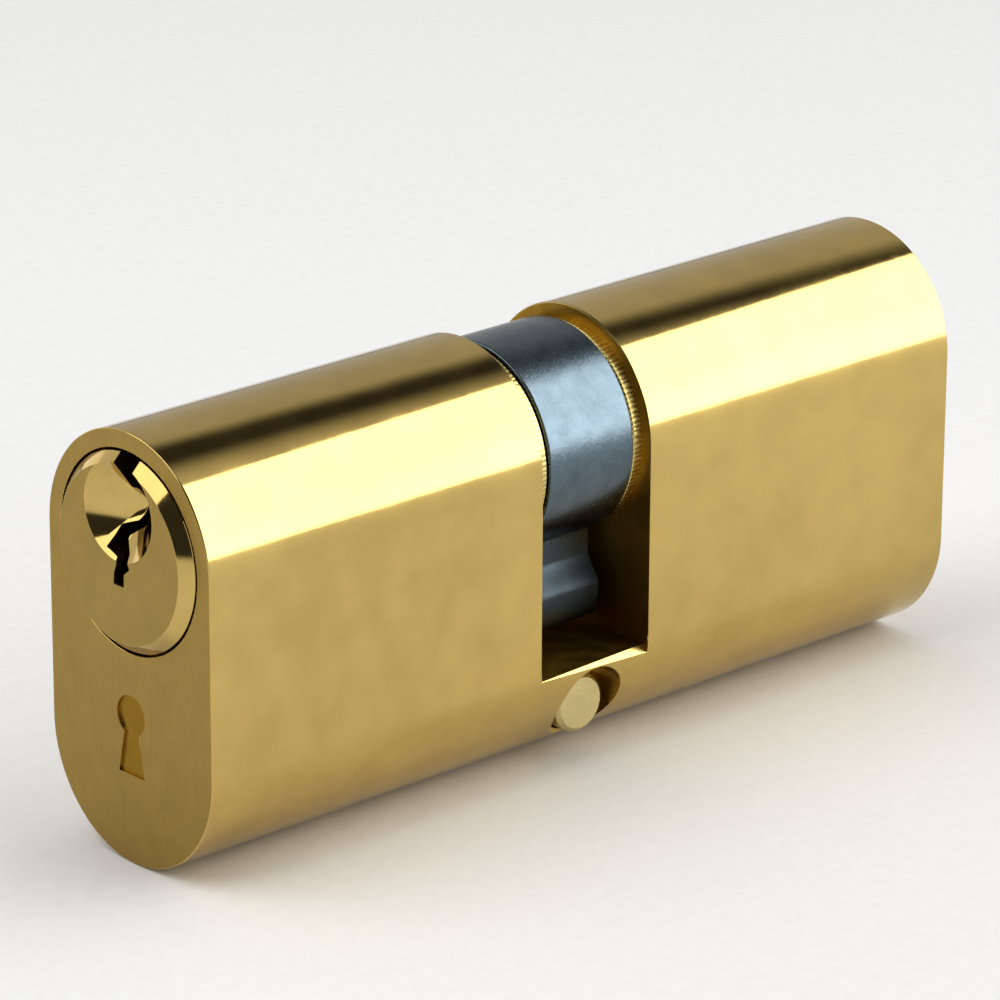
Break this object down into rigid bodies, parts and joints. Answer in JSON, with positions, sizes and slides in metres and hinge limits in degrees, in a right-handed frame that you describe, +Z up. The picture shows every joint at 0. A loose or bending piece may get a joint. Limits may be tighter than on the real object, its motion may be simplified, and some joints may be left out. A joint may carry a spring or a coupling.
{
  "type": "oval profile lock cylinder",
  "caption": "Brass oval-profile lock cylinder with a keyed plug in each end and a steel cam in its central cut-out, which throws a deadbolt.",
  "frame": {"origin": "centre of the bounding box: middle of the length, on the middle plane, half-way up the oval", "axes": "+X along the body from the front face to the rear, +Z up with the plugs in the upper part and the cam nose hanging down, +Y across the width"},
  "size_m": [0.0716, 0.0168, 0.031],
  "materials": {
    "body_brass": "polished sides, linished ends",
    "plug_brass": "turned and lightly polished",
    "cam_steel": "dark satin, sintered",
    "coupler_steel": "satin",
    "clip_steel": "dark spring steel",
    "cross_pin_brass": "pale, turned",
    "key_pin_brass": "turned",
    "driver_pin_brass": "turned",
    "spring_steel": "drawn wire",
    "cap_brass": "pressed"
  },
  "bodies": {
    "body": {"cylinder_body": "body_brass", "cross_pin": "cross_pin_brass", "front_chamber_cap_1": "cap_brass", "front_chamber_cap_2": "cap_brass", "front_chamber_cap_3": "cap_brass", "front_chamber_cap_4": "cap_brass", "front_chamber_cap_5": "cap_brass", "rear_chamber_cap_1": "cap_brass", "rear_chamber_cap_2": "cap_brass", "rear_chamber_cap_3": "cap_brass", "rear_chamber_cap_4": "cap_brass", "rear_chamber_cap_5": "cap_brass", "front_spring_1": "spring_steel", "front_spring_2": "spring_steel", "front_spring_3": "spring_steel", "front_spring_4": "spring_steel", "front_spring_5": "spring_steel", "rear_spring_1": "spring_steel", "rear_spring_2": "spring_steel", "rear_spring_3": "spring_steel", "rear_spring_4": "spring_steel", "rear_spring_5": "spring_steel"},
    "front_plug_turning": {"front_plug": "plug_brass", "front_circlip": "clip_steel"},
    "rear_plug_turning": {"rear_plug": "plug_brass", "rear_circlip": "clip_steel"},
    "cam_turning": {"cam": "cam_steel"},
    "coupler_sliding": {"coupler": "coupler_steel"},
    "front_key_pin_1_sliding": {"front_key_pin_1": "key_pin_brass"},
    "front_key_pin_2_sliding": {"front_key_pin_2": "key_pin_brass"},
    "front_key_pin_3_sliding": {"front_key_pin_3": "key_pin_brass"},
    "front_key_pin_4_sliding": {"front_key_pin_4": "key_pin_brass"},
    "front_key_pin_5_sliding": {"front_key_pin_5": "key_pin_brass"},
    "rear_key_pin_1_sliding": {"rear_key_pin_1": "key_pin_brass"},
    "rear_key_pin_2_sliding": {"rear_key_pin_2": "key_pin_brass"},
    "rear_key_pin_3_sliding": {"rear_key_pin_3": "key_pin_brass"},
    "rear_key_pin_4_sliding": {"rear_key_pin_4": "key_pin_brass"},
    "rear_key_pin_5_sliding": {"rear_key_pin_5": "key_pin_brass"},
    "front_driver_pin_1_sliding": {"front_driver_pin_1": "driver_pin_brass"},
    "front_driver_pin_2_sliding": {"front_driver_pin_2": "driver_pin_brass"},
    "front_driver_pin_3_sliding": {"front_driver_pin_3": "driver_pin_brass"},
    "front_driver_pin_4_sliding": {"front_driver_pin_4": "driver_pin_brass"},
    "front_driver_pin_5_sliding": {"front_driver_pin_5": "driver_pin_brass"},
    "rear_driver_pin_1_sliding": {"rear_driver_pin_1": "driver_pin_brass"},
    "rear_driver_pin_2_sliding": {"rear_driver_pin_2": "driver_pin_brass"},
    "rear_driver_pin_3_sliding": {"rear_driver_pin_3": "driver_pin_brass"},
    "rear_driver_pin_4_sliding": {"rear_driver_pin_4": "driver_pin_brass"},
    "rear_driver_pin_5_sliding": {"rear_driver_pin_5": "driver_pin_brass"}
  },
  "joints": [
    {"name": "front_plug_turn", "type": "hinge", "parent": "body", "child": "front_plug_turning", "pos_m": [-0.0358, 0, 0.007], "axis": [1, 0, 0], "continuous": true},
    {"name": "rear_plug_turn", "type": "hinge", "parent": "body", "child": "rear_plug_turning", "pos_m": [0.0358, 0, 0.007], "axis": [1, 0, 0], "continuous": true},
    {"name": "cam_turn", "type": "hinge", "parent": "body", "child": "cam_turning", "pos_m": [0, 0, 0.007], "axis": [1, 0, 0], "continuous": true},
    {"name": "coupler_slide", "type": "slide", "parent": "cam_turning", "child": "coupler_sliding", "axis": [1, 0, 0], "range_m": [0, 0.0028]},
    {"name": "front_key_pin_1_lift", "type": "slide", "parent": "front_plug_turning", "child": "front_key_pin_1_sliding", "axis": [0, 0, 1], "range_m": [0, 0.0024]},
    {"name": "front_key_pin_2_lift", "type": "slide", "parent": "front_plug_turning", "child": "front_key_pin_2_sliding", "axis": [0, 0, 1], "range_m": [0, 0.0015]},
    {"name": "front_key_pin_3_lift", "type": "slide", "parent": "front_plug_turning", "child": "front_key_pin_3_sliding", "axis": [0, 0, 1], "range_m": [0, 0.0021]},
    {"name": "front_key_pin_4_lift", "type": "slide", "parent": "front_plug_turning", "child": "front_key_pin_4_sliding", "axis": [0, 0, 1], "range_m": [0, 0.0012]},
    {"name": "front_key_pin_5_lift", "type": "slide", "parent": "front_plug_turning", "child": "front_key_pin_5_sliding", "axis": [0, 0, 1], "range_m": [0, 0.0018]},
    {"name": "rear_key_pin_1_lift", "type": "slide", "parent": "rear_plug_turning", "child": "rear_key_pin_1_sliding", "axis": [0, 0, 1], "range_m": [0, 0.0024]},
    {"name": "rear_key_pin_2_lift", "type": "slide", "parent": "rear_plug_turning", "child": "rear_key_pin_2_sliding", "axis": [0, 0, 1], "range_m": [0, 0.0015]},
    {"name": "rear_key_pin_3_lift", "type": "slide", "parent": "rear_plug_turning", "child": "rear_key_pin_3_sliding", "axis": [0, 0, 1], "range_m": [0, 0.0021]},
    {"name": "rear_key_pin_4_lift", "type": "slide", "parent": "rear_plug_turning", "child": "rear_key_pin_4_sliding", "axis": [0, 0, 1], "range_m": [0, 0.0012]},
    {"name": "rear_key_pin_5_lift", "type": "slide", "parent": "rear_plug_turning", "child": "rear_key_pin_5_sliding", "axis": [0, 0, 1], "range_m": [0, 0.0018]},
    {"name": "front_driver_pin_1_press", "type": "slide", "parent": "body", "child": "front_driver_pin_1_sliding", "axis": [0, 0, 1], "range_m": [-0.0005, 0], "stiffness_N_per_m": 60, "springref_m": 0.003, "deforming": ["front_spring_1"]},
    {"name": "front_driver_pin_2_press", "type": "slide", "parent": "body", "child": "front_driver_pin_2_sliding", "axis": [0, 0, 1], "range_m": [-0.0014, 0], "stiffness_N_per_m": 60, "springref_m": 0.003, "deforming": ["front_spring_2"]},
    {"name": "front_driver_pin_3_press", "type": "slide", "parent": "body", "child": "front_driver_pin_3_sliding", "axis": [0, 0, 1], "range_m": [-0.0008, 0], "stiffness_N_per_m": 60, "springref_m": 0.003, "deforming": ["front_spring_3"]},
    {"name": "front_driver_pin_4_press", "type": "slide", "parent": "body", "child": "front_driver_pin_4_sliding", "axis": [0, 0, 1], "range_m": [-0.0017, 0], "stiffness_N_per_m": 60, "springref_m": 0.003, "deforming": ["front_spring_4"]},
    {"name": "front_driver_pin_5_press", "type": "slide", "parent": "body", "child": "front_driver_pin_5_sliding", "axis": [0, 0, 1], "range_m": [-0.0011, 0], "stiffness_N_per_m": 60, "springref_m": 0.003, "deforming": ["front_spring_5"]},
    {"name": "rear_driver_pin_1_press", "type": "slide", "parent": "body", "child": "rear_driver_pin_1_sliding", "axis": [0, 0, 1], "range_m": [-0.0005, 0], "stiffness_N_per_m": 60, "springref_m": 0.003, "deforming": ["rear_spring_1"]},
    {"name": "rear_driver_pin_2_press", "type": "slide", "parent": "body", "child": "rear_driver_pin_2_sliding", "axis": [0, 0, 1], "range_m": [-0.0014, 0], "stiffness_N_per_m": 60, "springref_m": 0.003, "deforming": ["rear_spring_2"]},
    {"name": "rear_driver_pin_3_press", "type": "slide", "parent": "body", "child": "rear_driver_pin_3_sliding", "axis": [0, 0, 1], "range_m": [-0.0008, 0], "stiffness_N_per_m": 60, "springref_m": 0.003, "deforming": ["rear_spring_3"]},
    {"name": "rear_driver_pin_4_press", "type": "slide", "parent": "body", "child": "rear_driver_pin_4_sliding", "axis": [0, 0, 1], "range_m": [-0.0017, 0], "stiffness_N_per_m": 60, "springref_m": 0.003, "deforming": ["rear_spring_4"]},
    {"name": "rear_driver_pin_5_press", "type": "slide", "parent": "body", "child": "rear_driver_pin_5_sliding", "axis": [0, 0, 1], "range_m": [-0.0011, 0], "stiffness_N_per_m": 60, "springref_m": 0.003, "deforming": ["rear_spring_5"]}
  ],
  "couplings": [
    {"joint": "cam_turn", "follows": "front_plug_turn", "ratio": 1}
  ]
}
